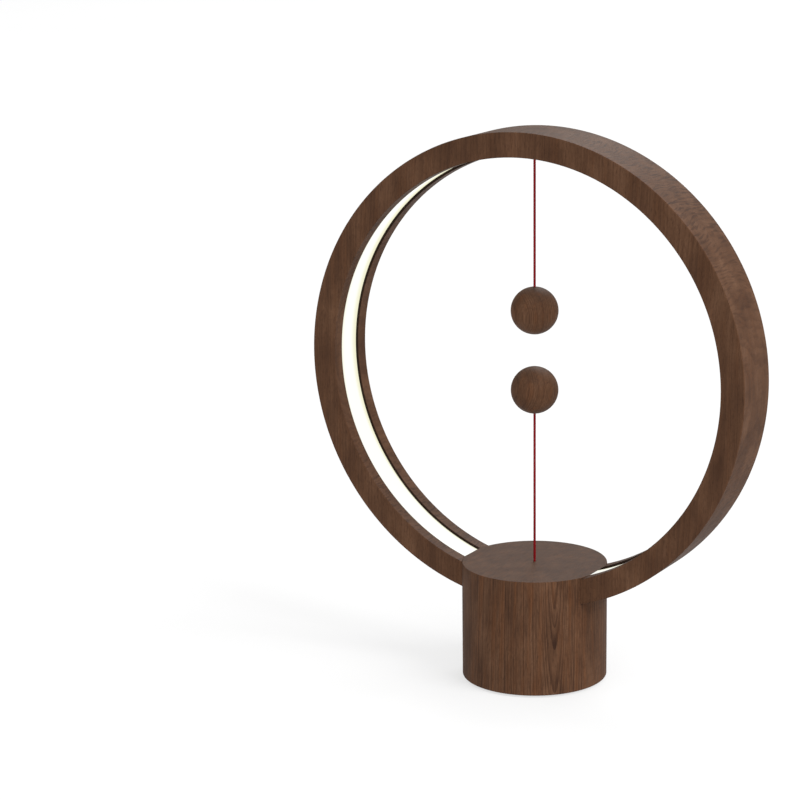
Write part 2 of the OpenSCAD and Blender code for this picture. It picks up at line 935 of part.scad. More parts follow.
ring_frame();
led_strip();
led_chips();
light_diffuser();
string_anchor();
upper_string_knot();
upper_string_bend();
upper_string();
upper_ball_knot();
upper_ball();
upper_magnet();
upper_ball_plug();
lower_ball();
lower_magnet();
lower_ball_plug();
lower_ball_knot();
lower_string();
lower_string_bend();
pull_string();
pull_plunger();
return_spring();
switch_housing();
housing_screws();
micro_switch();
switch_button();
switch_lever();
switch_terminals();
switch_screws();
base_shell();
ring_brackets();
bracket_screws();
circuit_board();
board_components();
wire_headers();
board_standoffs();
board_screws();
inlet_socket();
inlet_tongue();
inlet_bezel();
led_leads();
switch_leads();
ballast_disc();
ballast_screws();
bottom_cover();
cover_screws();
foot_pad();
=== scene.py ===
"""A balance lamp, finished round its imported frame.

A wooden light ring stands in a round wooden base. Two wooden balls hang in its middle on red cords.
Metres, +Z up. The ring lies in the XZ plane with its front towards -Y, and the lamp stands on z = 0.
"""

import json
import math

import bmesh
import bpy
import numpy as np
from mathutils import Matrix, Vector


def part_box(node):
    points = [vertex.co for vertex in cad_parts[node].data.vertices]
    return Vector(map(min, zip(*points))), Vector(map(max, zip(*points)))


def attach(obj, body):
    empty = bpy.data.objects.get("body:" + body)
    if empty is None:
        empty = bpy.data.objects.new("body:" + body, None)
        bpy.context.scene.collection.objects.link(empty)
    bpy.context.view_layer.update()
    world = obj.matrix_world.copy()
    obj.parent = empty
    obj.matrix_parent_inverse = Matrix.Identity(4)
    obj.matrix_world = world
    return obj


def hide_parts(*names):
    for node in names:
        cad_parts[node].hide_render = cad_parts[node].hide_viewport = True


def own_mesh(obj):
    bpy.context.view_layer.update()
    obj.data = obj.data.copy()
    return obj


bl_info = {
    "name": "Balance lamp",
    "version": (1, 0, 0),
    "blender": (4, 5, 0),
    "location": "3D View > Sidebar > Lamp",
    "description": "Builds a wooden balance lamp and its studio round a packed frame",
    "category": "Add Mesh",
}

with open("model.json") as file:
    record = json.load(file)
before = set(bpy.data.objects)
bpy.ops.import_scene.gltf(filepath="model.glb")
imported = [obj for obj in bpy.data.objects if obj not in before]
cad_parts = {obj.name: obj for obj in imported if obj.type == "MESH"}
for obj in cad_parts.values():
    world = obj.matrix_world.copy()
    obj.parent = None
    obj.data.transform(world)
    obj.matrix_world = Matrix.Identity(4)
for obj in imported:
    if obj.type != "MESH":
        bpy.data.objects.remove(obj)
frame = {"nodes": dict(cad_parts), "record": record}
bpy.context.view_layer.update()

MM = 0.001
GAP = 0.1 * MM  # between pieces that seat on each other
PAST = 1 * MM  # how far a cutter reaches past what it cuts
MERGE = 0.0001 * MM  # points nearer to each other than this become one


def low(node):
    """A node's lowest corner."""
    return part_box(node)[0]


def high(node):
    """A node's highest corner."""
    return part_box(node)[1]


RING_RADIUS = high("ring_frame").x
RING_TOP = high("ring_frame").z
RING_Z = RING_TOP - RING_RADIUS
BASE_TOP = high("base_shell").z
BALL_RADIUS = high("upper_ball").x
BALL_Z = {"upper": high("upper_ball").z - BALL_RADIUS, "lower": low("lower_ball").z + BALL_RADIUS}


# ---- Settings ----


def linear(code):
    """sRGB hex to linear red, green and blue."""
    parts = [int(code[i : i + 2], 16) / 255 for i in (1, 3, 5)]
    return tuple(c / 12.92 if c <= 0.04045 else ((c + 0.055) / 1.055) ** 2.4 for c in parts)


def rgba(code):
    """sRGB hex to a node's linear colour."""
    return (*linear(code), 1)


def length(name, description, default):
    """A size that a user may change, in metres."""
    return bpy.props.FloatProperty(
        name=name, description=description, default=default, min=0, precision=5, unit="LENGTH"
    )


def colour(name, description, code):
    """A colour that a user may change, from its sRGB hex."""
    return bpy.props.FloatVectorProperty(
        name=name, description=description, default=linear(code), size=3, min=0, max=1,
        subtype="COLOR"
    )


class LampRing(bpy.types.PropertyGroup):
    """Sizes of the ring and its light."""

    radius: length("Radius", "Outer radius of the ring", RING_RADIUS)
    width: length("Width", "Width of the ring, front to back", 2 * high("ring_frame").y)
    lip_radius: length("Lip radius", "Radius of the ring's inner lips", 103 * MM)
    lip_width: length("Lip width", "Width of each lip beside the channel", 7.2 * MM)
    seat_radius: length("Seat radius", "Radius of the ledges under the diffuser", 106.5 * MM)
    ledge_width: length("Ledge", "Width of each ledge under the diffuser", 2.3 * MM)
    floor_radius: length("Floor radius", "Radius of the channel's floor", 110 * MM)
    recess: length("Recess", "Depth of the diffuser's face below the lips", 1.5 * MM)
    flange: length("Flange", "Thickness of the flanges at the diffuser's sides", 0.5 * MM)
    flange_height: length("Flange height", "Height of those flanges over the face", 0.25 * MM)
    edge: length("Edge", "Radius of the ring's eased edges", 0.4 * MM)
    anchor: length("Anchor", "Radius of the hole for the cord's anchor", 2.55 * MM)
    anchor_depth: length("Anchor depth", "How deep that hole goes", 3 * MM)


class LampBase(bpy.types.PropertyGroup):
    """Sizes of the base."""

    radius: length("Radius", "Outer radius of the base", high("base_shell").x)
    wall: length("Wall", "Thickness of the side wall", 7.5 * MM)
    top: length("Top", "Thickness of the top", 5 * MM)
    rim: length("Rim", "Width of the rim round the bottom cover", 3.5 * MM)
    edge: length("Edge", "Radius of the base's eased edges", 0.4 * MM)
    inlet_width: length("Inlet width", "Width of the recess for the power plug", 13 * MM)
    inlet_height: length("Inlet height", "Height of the recess for the power plug", 7.4 * MM)
    bezel: length("Bezel", "Width of the rim round the inlet", 1.4 * MM)
    bezel_back: length("Bezel's back", "From the axis to the back of that rim", 29.5 * MM)


class LampBalls(bpy.types.PropertyGroup):
    """Sizes of the balls and cords."""

    radius: length("Radius", "Radius of each ball", BALL_RADIUS)
    plug: length("Plug", "Radius of the plug that closes the magnet's pocket", 5 * MM)
    plug_depth: length("Plug depth", "How deep the plug reaches into the ball", 3.1 * MM)
    magnet: length("Magnet", "Thickness of the magnet behind the plug", 5 * MM)
    chamber: length("Chamber", "Radius of the chamber for the knot", 2 * MM)
    chamber_depth: length("Chamber depth", "Depth of the chamber for the knot", 4.4 * MM)
    cord: length("Cord", "Diameter of the cords", 1.1 * MM)
    lay: length("Lay", "Length in which the cord's plies turn once", 3.4 * MM)


class LampColours(bpy.types.PropertyGroup):
    """Colours of the finishes that show."""

    wood_dark: colour("Dark wood", "Late wood and pores", "#2f1c12")
    wood: colour("Wood", "The wood's ground", "#513726")
    wood_light: colour("Light wood", "Early wood", "#6c4e3a")
    wood_rust: colour("Rust wood", "Red-brown streaks", "#6a3d1c")
    # End grain: darker as the wood's own tone, and greyer as painted sheen on faces that look up
    wood_end_and_sheen: colour("End grain", "Wood cut across the grain", "#44352b")
    # Painted shade: the walls of the ring's cut channel are painted nearly black
    wood_channel_shade: colour("Channel wood", "Walls of the ring's cut channel", "#120a06")
    cord: colour("Cord", "Dyed cord", "#901016")
    # Painted shade for the grooves between the cord's plies
    cord_groove_shade: colour("Cord's grooves", "Dyed cord between its plies", "#5a090e")
    light: colour("Light", "The diffuser's lit face", "#fffffa")
    light_edge: colour("Light's edge", "The diffuser beside its flanges", "#f2efd0")
    floor: colour("Floor", "Opal acrylic without its light", "#868686")


GROUPS = {
    "lamp_ring": LampRing,
    "lamp_base": LampBase,
    "lamp_balls": LampBalls,
    "lamp_colours": LampColours,
}


def hue(name):
    """A colour of the settings, as a node takes it."""
    return (*getattr(bpy.context.scene.lamp_colours, name), 1)


def ring_end_x(ring, base):
    """How far the ring's flat ends stand from the lamp's middle. A bracket, 2 mm narrower at each side
    than the ring, holds each end, and its corners keep 1.4 mm from the wall of the base's cavity."""
    bracket_half = ring.width / 2 - 2 * MM
    return math.sqrt((base.radius - base.wall) ** 2 - (bracket_half + 1.4 * MM) ** 2)


# ---- Surfaces ----


def grid_faces(rows, columns, wrap_rows=False, wrap_columns=False):
    """Quads of a grid whose point (i, j) has the index i * columns + j. A wrapped side joins up."""
    i = np.arange(rows if wrap_rows else rows - 1)
    j = np.arange(columns if wrap_columns else columns - 1)
    i, j = np.meshgrid(i, j, indexing="ij")
    k = (i + 1) % rows
    m = (j + 1) % columns
    corners = [i * columns + j, k * columns + j, k * columns + m, i * columns + m]
    return np.stack(corners, axis=-1).reshape(-1, 4)


def shade(made, crease=40):
    """Smooth shading, with the edges sharper than crease degrees kept sharp."""
    made.data.shade_smooth()
    made.data.set_sharp_from_angle(angle=math.radians(crease))


def build(name, points, faces, material=None, caps=(), crease=40):
    """A mesh object from a grid of points, the grid's faces and the caps that close its ends. Its doubles
    merge and its faces turn outwards."""
    mesh = bpy.data.meshes.new(name)
    mesh.from_pydata(points.reshape(-1, 3).tolist(), [], [*faces.tolist(), *caps])
    work = bmesh.new()
    work.from_mesh(mesh)
    bmesh.ops.remove_doubles(work, verts=work.verts, dist=MERGE)
    bmesh.ops.recalc_face_normals(work, faces=work.faces)
    work.to_mesh(mesh)
    work.free()
    if material:
        mesh.materials.append(material)
    made = bpy.data.objects.new(name, mesh)
    bpy.context.scene.collection.objects.link(made)
    shade(made, crease)
    return made


def carried(name, points, material=None, crease=40):
    """A closed outline at each step of the first axis of points, with its two ends closed."""
    rows, columns = points.shape[:2]
    first = list(range(columns))
    last = [i + (rows - 1) * columns for i in first]
    faces = grid_faces(rows, columns, wrap_columns=True)
    return build(name, points, faces, material, [first, last], crease)


def revolved(name, outline, material, steps=240, closed=True):
    """Turns an outline (radius, z) once round the Z axis: x and y are the radius times the cosine and
    sine of the turn. An open outline ends on the axis."""
    turn = np.arange(steps)[:, None] * 2 * math.pi / steps
    r, z = outline.T
    points = np.stack([r * np.cos(turn), r * np.sin(turn), z + 0 * turn], axis=-1)
    faces = grid_faces(steps, len(outline), wrap_rows=True, wrap_columns=closed)
    return build(name, points, faces, material)


def round_ring(outline, end_x, steps=480):
    """Carries a closed outline (radius, y) round the ring's axis. The turn is 0 at the top, and a point
    at radius r stops asin(end_x / r) short of the bottom at each side, so that both ends are flat."""
    r, y = outline.T
    turn = np.linspace(-1, 1, steps + 1)[:, None] * (math.pi - np.arcsin(end_x / r))
    return np.stack([r * np.sin(turn), y + 0 * turn, RING_Z + r * np.cos(turn)], axis=-1)


def unit(vector):
    """A vector of length 1 in the same direction."""
    return vector / np.linalg.norm(vector)


def eased(corners, support=0.25 * MM, steps=5):
    """A closed outline through (x, y, radius) corners. Each corner becomes an arc that is tangent to its
    two sides, with its centre radius / sin(half angle) along the bisector. A point just outside each
    end of the arc keeps the shading of the flat sides flat."""
    corners = np.array(corners, float)
    outline = []
    for i, (x, y, radius) in enumerate(corners):
        corner = np.array([x, y])
        if radius == 0:
            outline.append([corner])
            continue
        before = unit(corners[i - 1, :2] - corner)
        after = unit(corners[(i + 1) % len(corners), :2] - corner)
        half = math.acos(before @ after) / 2
        reach = radius / math.tan(half)
        centre = corner + unit(before + after) * radius / math.sin(half)
        ends = corner + np.array([before, after]) * reach
        first, last = np.arctan2(*(ends - centre).T[::-1])
        turn = (last - first + math.pi) % (2 * math.pi) - math.pi
        angle = first + turn * np.linspace(0, 1, steps + 1)[:, None]
        arc = centre + radius * np.hstack([np.cos(angle), np.sin(angle)])
        outline += [[ends[0] + before * support], arc, [ends[1] + after * support]]
    return np.concatenate(outline)


def both_sides(half):
    """An outline (radius, y, edge radius) and its mirror image in y, as one closed outline."""
    return half + [(r, -y, edge) for r, y, edge in reversed(half)]


def stadium(width, height, steps=16):
    """An outline (x, z) with straight long sides. Each end is a half circle as high as the outline, with
    its centre half of (width - height) from the middle."""
    angle = np.linspace(-math.pi / 2, math.pi / 2, steps + 1)
    end = np.stack([np.cos(angle), np.sin(angle)], axis=1) * height / 2
    end += [(width - height) / 2, 0]
    return np.concatenate([end, -end])


def bar(outline, low_y, high_y, z):
    """A cutter that carries the outline (x, z), raised by z, straight along Y from low_y to high_y."""
    x, up = outline.T
    ends = np.array([low_y, high_y])[:, None]
    return carried("cutter", np.stack([x + 0 * ends, ends + 0 * x, up + z + 0 * ends], axis=-1))


def pin(radius, low_z, high_z, steps=48):
    """A round cutter along the Z axis: x and y are the radius times the cosine and sine of the angle."""
    angle = np.arange(steps) * 2 * math.pi / steps
    ends = np.array([low_z, high_z])[:, None]
    x, y = radius * np.cos(angle), radius * np.sin(angle)
    return carried("cutter", np.stack([x + 0 * ends, y + 0 * ends, ends + 0 * angle], axis=-1))


def cut(made, cutters):
    """Cuts the cutters out of a piece and removes them."""
    bpy.context.view_layer.objects.active = made
    for cutter in cutters:
        modifier = made.modifiers.new("cut", "BOOLEAN")
        modifier.operation = "DIFFERENCE"
        modifier.solver = "EXACT"
        modifier.object = cutter
        bpy.ops.object.modifier_apply(modifier=modifier.name)
        bpy.data.meshes.remove(cutter.data)
    shade(made)


def seat(made, body, slot, *nodes):
    """Rides a piece on its body and hides the nodes that it stands for; the slot is not used."""
    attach(made, body)
    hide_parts(*nodes)


# ---- Materials ----

FACTOR, FIRST, SECOND = 0, 6, 7  # the inputs of a Mix node of colours


def add(tree, kind, inputs=(), stops=(), **settings):
    """Adds a node with its settings. Its inputs, by name or in order, are nodes, sockets or constants,
    and the stops of a ramp are (position, colour)."""
    made = tree.nodes.new("ShaderNode" + kind)
    for name, value in settings.items():
        setattr(made, name, value)
    pairs = inputs.items() if isinstance(inputs, dict) else enumerate(inputs)
    for key, value in pairs:
        if isinstance(value, bpy.types.Node):
            value = next(socket for socket in value.outputs if socket.enabled)
        if isinstance(value, bpy.types.NodeSocket):
            tree.links.new(value, made.inputs[key])
        else:
            made.inputs[key].default_value = value
    for i, (position, stop) in enumerate(stops):
        points = made.color_ramp.elements
        point = points[i] if i < len(points) else points.new(position)
        point.position = position
        point.color = stop
    return made


def empty_material(name):
    """A new material, its empty tree and its coordinates."""
    made = bpy.data.materials.new(name)
    made.use_nodes = True
    made.node_tree.nodes.clear()
    return made, made.node_tree, add(made.node_tree, "TexCoord")


def cloud(tree, place, size, detail=2.0):
    """A cloudy pattern whose features have the given size (x, y, z)."""
    fitted = add(tree, "Mapping", {"Vector": place, "Scale": tuple(1 / s for s in size)})
    return add(tree, "TexNoise", {"Vector": fitted, "Scale": 1.0, "Detail": detail})


def finish_material(tree, **inputs):
    """The material's shader and output. The inputs' names are written with underscores."""
    named = {name.replace("_", " "): value for name, value in inputs.items()}
    add(tree, "OutputMaterial", [add(tree, "BsdfPrincipled", named)])


def timber_space(tree, place, pith, lean, wander):
    """Places as they lay in the tree. Z runs along the pith, a line through the given point that leans
    (x, y) per unit of height. They drift by up to wander, so that growth rings aren't true circles."""
    from_pith = add(tree, "VectorMath", [place, pith], operation="SUBTRACT")
    upright = (lean[1], -lean[0], 0)
    timber = add(tree, "Mapping", {"Vector": from_pith, "Rotation": upright})
    drift = cloud(tree, timber, (30 * MM, 30 * MM, 110 * MM)).outputs["Color"]
    drift = add(tree, "VectorMath", [drift, (0.5, 0.5, 0.5)], operation="SUBTRACT")
    reach = (2 * wander, 2 * wander, 2 * wander)
    return add(tree, "VectorMath", [drift, reach, timber], operation="MULTIPLY_ADD")


def growth_rings(tree, grain, ring_gap):
    """Growth rings, each light at first and darker towards its late wood. A slow noise, added to the
    years counted from the pith, makes their widths uneven."""
    flat = add(tree, "VectorMath", [grain, (1, 1, 0)], operation="MULTIPLY")
    radius = add(tree, "VectorMath", [flat], operation="LENGTH")
    years = add(tree, "Math", [radius, ring_gap], operation="DIVIDE")
    climate = add(tree, "TexNoise", {"W": years, "Scale": 0.4, "Detail": 1.0},
                  noise_dimensions="1D")
    years = add(tree, "Math", [climate, 3.0, years], operation="MULTIPLY_ADD")
    year = add(tree, "Math", [years], operation="FRACT")
    darkens, darkest, early_tone, late_tone = 0.35, 0.95, 0.65, 0.1
    return add(tree, "MapRange", [year, darkens, darkest, early_tone, late_tone],
               interpolation_type="SMOOTHSTEP")


def ground_tone(tree, grain, fibre, end_grain, ring_gap, figure, stripe):
    """The wood's tone: 0.5, and each pattern's difference from 0.5 times its strength. The patterns are
    the growth rings, a little fainter on end grain, the fibres, and patches 10 mm wide."""
    ring = growth_rings(tree, grain, ring_gap)
    patch = cloud(tree, grain, (10 * MM, 10 * MM, 26 * MM), 4.0)
    blotch = 0.8
    fade = add(tree, "MapRange", [end_grain, 0.0, 1.0, figure, 0.8 * figure])
    tone = add(tree, "Math", [ring, fade, 0.5 - 0.5 * figure], operation="MULTIPLY_ADD")
    tone = add(tree, "Math", [fibre, stripe, tone], operation="MULTIPLY_ADD")
    tone = add(tree, "Math", [patch, blotch, tone], operation="MULTIPLY_ADD")
    return add(tree, "Math", [tone, 0.5 * (stripe + blotch)], operation="SUBTRACT")


def channel_wall_shade(tree, coordinates, facing, wall):
    """How much painted shade a face takes as a wall of the cut channel. Such a wall faces front or back,
    and lies nearer to the middle than wall."""
    most, blend = 0.85, 0.5 * MM
    side = add(tree, "Math", [facing.outputs["Y"]], operation="ABSOLUTE")
    side = add(tree, "MapRange", [side, 0.6, 0.9, 0.0, most])
    y = add(tree, "SeparateXYZ", [coordinates.outputs["Object"]]).outputs["Y"]
    inner = add(tree, "Math", [y], operation="ABSOLUTE")
    inner = add(tree, "MapRange", [inner, wall, wall + blend, 1.0, 0.0])
    return add(tree, "Math", [side, inner], operation="MULTIPLY")


def walnut(name, pith, lean, ring_gap, wander, figure, stripe, fleck, wall=0.0):
    """Oiled walnut, sawn and sanded fine: dark brown, with darker late wood, red-brown streaks, and
    pores that are short dark lines along the grain. The pattern is solid, as in timber. Figure is how
    strongly the rings show, stripe the fibres and streaks, and fleck the rays. End grain is darker
    and greyer: the darker tone is its own, and the grey is painted sheen on faces that look up.
    Where wall is given, the channel's walls nearer to the middle than that are painted nearly black,
    as painted shade in the recess."""
    material, tree, coordinates = empty_material(name)
    grain = timber_space(tree, coordinates.outputs["Object"], pith, lean, wander)
    facing = add(tree, "SeparateXYZ", [coordinates.outputs["Normal"]])
    end_grain = add(tree, "Math", [facing.outputs["Z"], 2.0], operation="POWER")

    # Fibres 0.5 mm wide, a little coarser than real ones so that they show
    fibre = cloud(tree, grain, (0.5 * MM, 0.5 * MM, 20 * MM), 3.0)
    # The marks below begin where their noise passes the first value, and are full at the second.
    # Pores 0.35 mm wide and 4 mm long
    pore = cloud(tree, grain, (0.35 * MM, 0.35 * MM, 4 * MM), 1.0)
    pore = add(tree, "MapRange", [pore, 0.56, 0.74, 0.0, 1.0])
    # Rays: dark hairlines 0.8 mm thick that run inwards for 9 mm, clearest on the end grain
    ray = cloud(tree, grain, (0.8 * MM, 9 * MM, 1.8 * MM), 2.0)
    clear = add(tree, "MapRange", [end_grain, 0.0, 0.6, 0.2 * fleck, fleck])
    ray = add(tree, "MapRange", [ray, 0.5, 0.64, 0.0, clear])
    # Red-brown streaks 3 mm wide
    streak = cloud(tree, grain, (3 * MM, 3 * MM, 70 * MM))
    streak = add(tree, "MapRange", [streak, 0.5, 0.75, 0.0, 0.5 * stripe])

    tone = ground_tone(tree, grain, fibre, end_grain, ring_gap, figure, stripe)
    stops = [(0.1, hue("wood_dark")), (0.5, hue("wood")), (0.9, hue("wood_light"))]
    wood = add(tree, "ValToRGB", [tone], stops)
    lines = add(tree, "Math", [pore, 0.45, ray], operation="MULTIPLY_ADD")
    # Faces that look up: the end grain's own darker tone, and a painted grey sheen
    grey = add(tree, "Math", [end_grain, 0.35], operation="MULTIPLY")
    marks_and_shade = [(streak, "wood_rust"), (lines, "wood_dark"), (grey, "wood_end_and_sheen")]
    # Painted shade on the channel's walls, where the recess lies in shadow
    if wall:
        marks_and_shade.append((channel_wall_shade(tree, coordinates, facing, wall), "wood_channel_shade"))
    for share, overlay in marks_and_shade:
        wood = add(tree, "Mix", {FACTOR: share, FIRST: wood, SECOND: hue(overlay)},
                   data_type="RGBA")

    # Fibres stand up a little and pores sink in
    height = add(tree, "Math", [fibre, 0.6], operation="MULTIPLY")
    height = add(tree, "Math", [height, pore], operation="SUBTRACT")
    relief = add(tree, "Bump", {"Height": height, "Distance": 0.05 * MM, "Strength": 0.4})
    shine = add(tree, "MapRange", [fibre, 0.3, 0.7, 0.66, 0.78])
    # Faces that lie flat are rubbed smoother
    shine = add(tree, "Math", [end_grain, -0.18, shine], operation="MULTIPLY_ADD")
    finish_material(tree, Base_Color=wood, Roughness=shine, Specular_IOR_Level=0.12, IOR=1.47,
                    Normal=relief)
    return material


def milky_acrylic():
    """Opal acrylic lit from behind: an even white face that turns pale yellow beside the flanges, where
    it carries only the light that the sheet spreads sideways. The yellow is widest at the middle's
    height and above, and thin at the bottom."""
    ring = bpy.context.scene.lamp_ring
    material, tree, coordinates = empty_material("milky_acrylic")
    place = coordinates.outputs["Object"]
    parts = add(tree, "SeparateXYZ", [place])
    from_middle = add(tree, "Math", [parts.outputs["Y"]], operation="ABSOLUTE")
    side = ring.width / 2 - ring.lip_width
    heights = RING_Z - 0.7 * ring.lip_radius, RING_Z
    narrow, wide = 1.0 * MM, 5.5 * MM
    spread = add(tree, "MapRange", [parts.outputs["Z"], *heights, narrow, wide])
    start = add(tree, "Math", [side, spread], operation="SUBTRACT")
    edge = add(tree, "MapRange", [from_middle, start, side - 0.3 * MM, 0.0, 1.0],
               interpolation_type="SMOOTHSTEP")
    grain = cloud(tree, place, (3 * MM, 3 * MM, 3 * MM))
    face = add(tree, "Mix", {FACTOR: grain, FIRST: hue("light"), SECOND: rgba("#fdfff8")},
               data_type="RGBA")
    glow = add(tree, "Mix", {FACTOR: edge, FIRST: face, SECOND: hue("light_edge")},
               data_type="RGBA")
    finish_material(tree, Base_Color=rgba("#3a3a36"), Roughness=0.4, Specular_IOR_Level=0.1,
                    Emission_Color=glow, Emission_Strength=0.97)
    return material


def dyed_cord():
    """Dyed and waxed polyester cord of three twisted plies: deep red, with painted shade between the plies,
    matt.
    """
    material, tree, coordinates = empty_material("dyed_cord")
    groove = add(tree, "Attribute", attribute_name="groove").outputs["Fac"]
    yarn = cloud(tree, coordinates.outputs["Object"], (0.12 * MM, 0.12 * MM, 0.5 * MM))
    # Painted shade: darker in the grooves between the plies, with a random yarn texture added
    depth = add(tree, "Math", [yarn, 0.3, groove], operation="MULTIPLY_ADD")
    tint = add(tree, "Mix", {FACTOR: depth, FIRST: hue("cord"), SECOND: hue("cord_groove_shade")},
               data_type="RGBA")
    relief = add(tree, "Bump", {"Height": yarn, "Distance": 0.03 * MM, "Strength": 0.6})
    finish_material(tree, Base_Color=tint, Roughness=0.75, Specular_IOR_Level=0.1, Normal=relief)
    return material


def metal(name, pale, dark, roughness, mark=0.3, turned=False):
    """A bare metal with fine tool marks of the given size in millimetres. On a turned one they are
    flatter along Z, as a lathe leaves them."""
    material, tree, coordinates = empty_material(name)
    size = (mark * MM, mark * MM, (0.3 if turned else 1.0) * mark * MM)
    marks = cloud(tree, coordinates.outputs["Object"], size, 3.0)
    tint = add(tree, "Mix", {FACTOR: marks, FIRST: rgba(dark), SECOND: rgba(pale)},
               data_type="RGBA")
    shine = add(tree, "MapRange", [marks, 0.3, 0.7, roughness - 0.05, roughness + 0.05])
    relief = add(tree, "Bump", {"Height": marks, "Distance": 0.01 * MM, "Strength": 0.4})
    finish_material(tree, Base_Color=tint, Metallic=1.0, Roughness=shine, Normal=relief)
    return material


def moulded(name, pale, dark, roughness, grit=0.25, depth=0.02):
    """A moulded polymer: a sparked texture, its grit and depth in millimetres, and a slow change of
    tone over 9 mm where the melt flowed."""
    material, tree, coordinates = empty_material(name)
    place = coordinates.outputs["Object"]
    texture = cloud(tree, place, (grit * MM, grit * MM, grit * MM))
    flow = cloud(tree, place, (9 * MM, 9 * MM, 9 * MM))
    mixed = add(tree, "Math", [texture, 0.5, flow], operation="MULTIPLY_ADD")
    mixed = add(tree, "MapRange", [mixed, 0.5, 1.0, 0.0, 1.0])
    tint = add(tree, "Mix", {FACTOR: mixed, FIRST: rgba(dark), SECOND: rgba(pale)},
               data_type="RGBA")
    relief = add(tree, "Bump", {"Height": texture, "Distance": depth * MM, "Strength": 0.5})
    finish_material(tree, Base_Color=tint, Roughness=roughness, Normal=relief)
    return material


def nickel():
    """Bright nickel plate on steel, slightly warm."""
    return metal("nickel_plate", "#cfccc4", "#b5b1a8", 0.22)


def brass():
    """Turned brass: yellow, with fine marks from the lathe."""
    return metal("turned_brass", "#c9a35a", "#a98442", 0.32, mark=0.6, turned=True)


def spring_steel():
    """Drawn spring steel: grey and smooth."""
    return metal("spring_steel", "#bfc1c4", "#a2a4a8", 0.3)


def zinc_steel():
    """Zinc-plated steel: cool grey with a faint cloudy spangle."""
    return metal("zinc_plated_steel", "#c8ccd0", "#aab0b6", 0.38, mark=1.4)


def ballast_steel():
    """Oiled mild steel: dark, with marks from the lathe."""
    return metal("oiled_steel", "#8a8c90", "#5f6166", 0.45, mark=0.8, turned=True)


def white_acetal():
    """Natural acetal: milk white, slippery, half matt."""
    return moulded("white_acetal", "#ecece8", "#dededa", 0.4)


def red_acetal():
    """Red acetal of a switch's button, worn smooth."""
    return moulded("red_acetal", "#b3261c", "#8f1a12", 0.4)


def grey_abs():
    """Grey ABS with a sparked mould texture."""
    return moulded("grey_abs", "#6a6b6e", "#56575a", 0.55)


def black_abs():
    """Black ABS with a fine matt mould texture."""
    return moulded("black_abs", "#242426", "#161618", 0.5, grit=0.3)


def white_nylon():
    """Unfilled nylon of wire headers: creamy white."""
    return moulded("white_nylon", "#ece7d8", "#d8d2c0", 0.5)


def led_board():
    """White solder mask over a flexible strip."""
    return moulded("white_solder_mask", "#f2f2ee", "#e2e2dc", 0.35)


def green_laminate():
    """Green solder mask over glass laminate, glossy, and faintly uneven over the weave."""
    return moulded("green_solder_mask", "#1f6b3c", "#17512d", 0.28, grit=0.5)


def lead_pvc():
    """Extruded red PVC on a stranded lead, half glossy."""
    return moulded("red_pvc_sleeve", "#b3201a", "#8e1612", 0.38)


def grey_rubber():
    """Foam rubber: dark grey and matt, its skin pocked 0.6 mm wide."""
    return moulded("foam_rubber", "#3b3b3e", "#2a2a2d", 0.9, grit=0.6, depth=0.12)


def led_phosphor():
    """Lit yellow phosphor under clear resin."""
    material, tree, coordinates = empty_material("lit_phosphor")
    grains = cloud(tree, coordinates.outputs["Object"], (0.3 * MM, 0.3 * MM, 0.3 * MM))
    tint = add(tree, "Mix", {FACTOR: grains, FIRST: rgba("#f4c95a"), SECOND: rgba("#ffe9a8")},
               data_type="RGBA")
    finish_material(tree, Base_Color=tint, Roughness=0.2, Emission_Color=tint,
                    Emission_Strength=1.5)
    return material


# What finishes the nodes that stay, by record slot
FINISHES = {
    "led_board": led_board,
    "led_phosphor": led_phosphor,
    "nickel": nickel,
    "brass": brass,
    "spring_steel": spring_steel,
    "zinc_steel": zinc_steel,
    "ballast_steel": ballast_steel,
    "white_acetal": white_acetal,
    "red_acetal": red_acetal,
    "grey_abs": grey_abs,
    "black_abs": black_abs,
    "white_nylon": white_nylon,
    "green_laminate": green_laminate,
    "lead_pvc": lead_pvc,
}


# ---- Pieces ----


